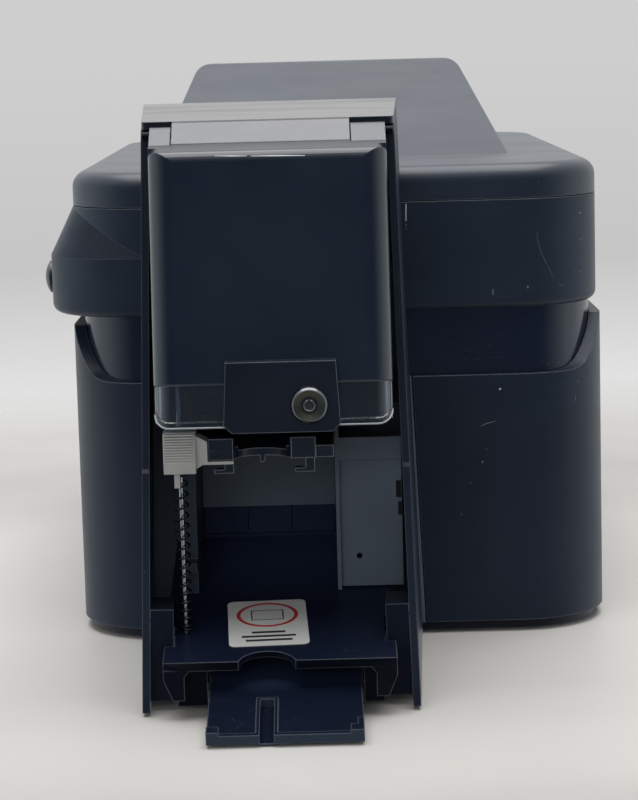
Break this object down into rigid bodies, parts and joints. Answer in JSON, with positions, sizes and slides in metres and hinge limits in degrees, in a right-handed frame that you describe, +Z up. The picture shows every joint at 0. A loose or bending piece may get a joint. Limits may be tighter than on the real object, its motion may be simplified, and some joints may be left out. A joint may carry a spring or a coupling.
{
  "type": "id card printer",
  "caption": "Desktop card printer with a hinged top cover over its print station and a locking card hopper, sprung card platform, output ramp and slide-in tray on one end.",
  "frame": {"origin": "centre of the bounding box on the plane the feet stand on", "axes": "+X from the far end to the hopper end, +Y from the control panel side to the back, +Z up"},
  "size_m": [0.5153, 0.2482, 0.243],
  "materials": {
    "shell": "fine moulded texture",
    "dark": "fine moulded texture",
    "cap": "satin",
    "bezel": "gloss",
    "display": "gloss",
    "rubber": "matt",
    "steel": "brushed",
    "chrome": "polished",
    "roller": "matt",
    "cleaning": "tacky",
    "gear": "moulded",
    "brass": "machined",
    "ribbon": "gloss film",
    "board": "solder mask",
    "head": "machined",
    "lever": "moulded",
    "smoke": "smoked, scratched",
    "clear": "clear, scratched",
    "spring": "oiled wire",
    "sticker": "printed film"
  },
  "bodies": {
    "body": {"base_plate": "dark", "rubber_feet": "rubber", "lower_shell": "shell", "inner_housing": "bezel", "upper_housing": "shell", "control_bezel": "bezel", "display_window": "display", "panel_board": "board", "cover_pins": "chrome", "side_frames": "steel", "tie_bars": "steel", "drive_motor": "steel", "circuit_board": "board", "power_inlet": "bezel", "data_ports": "steel", "hopper_back": "dark", "hopper_side_front": "shell", "hopper_side_rear": "shell", "hopper_cap": "cap", "card_guide_front": "dark", "card_guide_rear": "cap", "guide_rod": "chrome", "lift_spring": "spring", "door_pins": "chrome", "output_ramp": "dark", "ramp_sticker": "sticker", "tray_rails": "dark"},
    "cover": {"top_cover": "shell", "cover_tongue": "dark", "head_bracket": "steel", "print_head": "head"},
    "near_key": {"button_near": "dark"},
    "middle_key": {"button_middle": "dark"},
    "far_key": {"button_far": "dark"},
    "feed_shaft": {"feed_roller": "roller", "feed_gear": "gear"},
    "idler": {"idler_gear": "gear"},
    "platen_shaft": {"platen_roller": "roller", "platen_gear": "gear"},
    "pinion": {"motor_pinion": "brass"},
    "cleaning_shaft": {"cleaning_roller": "cleaning"},
    "supply": {"supply_spool": "ribbon"},
    "takeup": {"takeup_spool": "ribbon"},
    "pick_shaft": {"pick_roller": "roller"},
    "platform": {"card_platform": "dark", "lift_lever": "lever"},
    "door": {"hopper_door": "smoke", "door_skirt": "clear", "lock_plate": "dark", "lock_barrel": "chrome"},
    "lock": {"lock_plug": "chrome", "lock_cam": "steel"},
    "tray": {"output_tray": "dark"}
  },
  "joints": [
    {"name": "cover_lift", "type": "hinge", "parent": "body", "child": "cover", "pos_m": [-0.08265, 0.1207, 0.1885], "axis": [-1, 0, 0], "range_deg": [0, 70]},
    {"name": "near_key_press", "type": "slide", "parent": "body", "child": "near_key", "axis": [0, 1, 0], "range_m": [0, 0.0015], "stiffness_N_per_m": 300, "springref_m": -0.002},
    {"name": "middle_key_press", "type": "slide", "parent": "body", "child": "middle_key", "axis": [0, 1, 0], "range_m": [0, 0.0015], "stiffness_N_per_m": 300, "springref_m": -0.002},
    {"name": "far_key_press", "type": "slide", "parent": "body", "child": "far_key", "axis": [0, 1, 0], "range_m": [0, 0.0015], "stiffness_N_per_m": 300, "springref_m": -0.002},
    {"name": "feed_turn", "type": "hinge", "parent": "body", "child": "feed_shaft", "pos_m": [0.04035, -0.02725, 0.0946], "axis": [0, 1, 0], "continuous": true},
    {"name": "idler_turn", "type": "hinge", "parent": "body", "child": "idler", "pos_m": [0.01135, -0.02725, 0.0946], "axis": [0, 1, 0], "continuous": true},
    {"name": "platen_turn", "type": "hinge", "parent": "body", "child": "platen_shaft", "pos_m": [-0.01765, -0.02725, 0.0946], "axis": [0, 1, 0], "continuous": true},
    {"name": "pinion_turn", "type": "hinge", "parent": "body", "child": "pinion", "pos_m": [0.01135, -0.02725, 0.0746], "axis": [0, 1, 0], "continuous": true},
    {"name": "cleaning_turn", "type": "hinge", "parent": "body", "child": "cleaning_shaft", "pos_m": [-0.09165, -0.02725, 0.0946], "axis": [0, 1, 0], "continuous": true},
    {"name": "supply_turn", "type": "hinge", "parent": "body", "child": "supply", "pos_m": [0.03435, -0.02725, 0.142], "axis": [0, 1, 0], "continuous": true},
    {"name": "takeup_turn", "type": "hinge", "parent": "body", "child": "takeup", "pos_m": [-0.06965, -0.02725, 0.142], "axis": [0, 1, 0], "continuous": true},
    {"name": "pick_turn", "type": "hinge", "parent": "body", "child": "pick_shaft", "pos_m": [0.10665, -0.02725, 0.0928], "axis": [0, 1, 0], "continuous": true},
    {"name": "platform_slide", "type": "slide", "parent": "body", "child": "platform", "axis": [0, 0, -1], "range_m": [0, 0.045], "stiffness_N_per_m": 40, "springref_m": -0.03, "deforming": ["lift_spring"]},
    {"name": "door_swing", "type": "hinge", "parent": "body", "child": "door", "pos_m": [0.16715, -0.02225, 0.21909], "axis": [0, -1, 0], "range_deg": [0, 95]},
    {"name": "lock_turn", "type": "hinge", "parent": "door", "child": "lock", "pos_m": [0.20945, -0.00865, 0.1186], "axis": [-1, 0, 0], "range_deg": [0, 90]},
    {"name": "tray_slide", "type": "slide", "parent": "body", "child": "tray", "axis": [-0.9816, 0, 0.1908], "range_m": [0, 0.045]}
  ],
  "couplings": [
    {"joint": "idler_turn", "follows": "feed_turn", "ratio": -1.2308},
    {"joint": "platen_turn", "follows": "feed_turn", "ratio": 1},
    {"joint": "pinion_turn", "follows": "feed_turn", "ratio": 2.2857}
  ]
}
